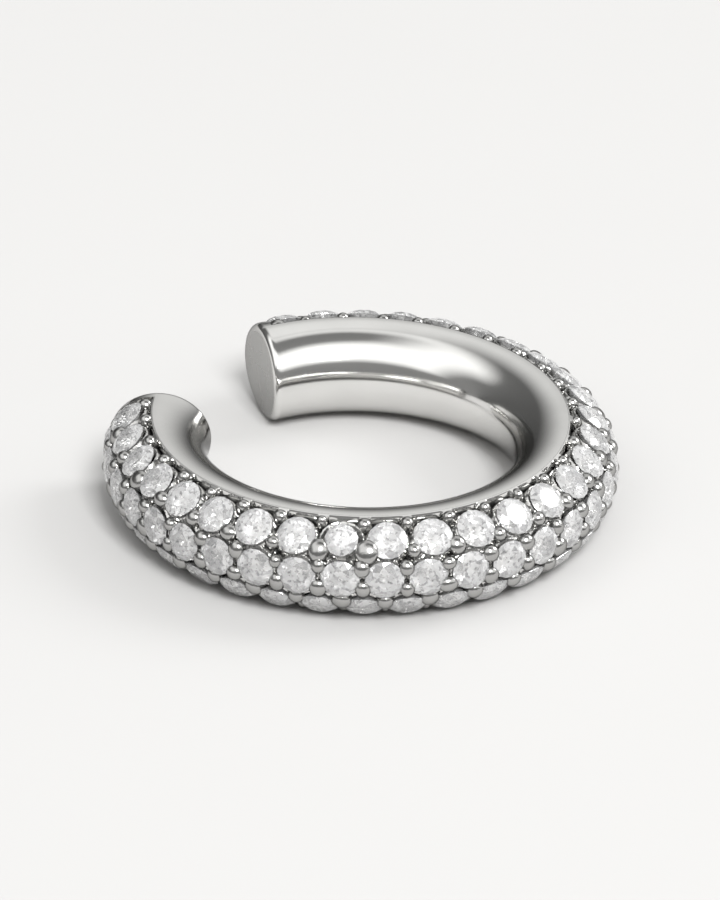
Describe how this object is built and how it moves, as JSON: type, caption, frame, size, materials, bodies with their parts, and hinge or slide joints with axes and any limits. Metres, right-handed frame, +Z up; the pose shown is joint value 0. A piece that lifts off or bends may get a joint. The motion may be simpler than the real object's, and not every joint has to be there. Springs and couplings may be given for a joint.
{
  "type": "ear cuff",
  "caption": "Open oval ring of round polished metal section that slips over the edge of an ear, its outer side set with rows of small round stones.",
  "frame": {"origin": "on the surface that the cuff rests on, under the middle of the ring's middle line", "axes": "+Z up, square to the ring as it lies on its side; the opening between the two ends faces -X"},
  "size_m": [0.0136, 0.0139, 0.0029],
  "materials": {
    "polished_metal": "mirror-polished rhodium-plated silver",
    "set_stones": "clear faceted stones in a bright-cut metal setting"
  },
  "bodies": {
    "root": {"cuff_band": "polished_metal", "pave_field_near": "set_stones", "pave_field_far": "set_stones"}
  },
  "joints": []
}
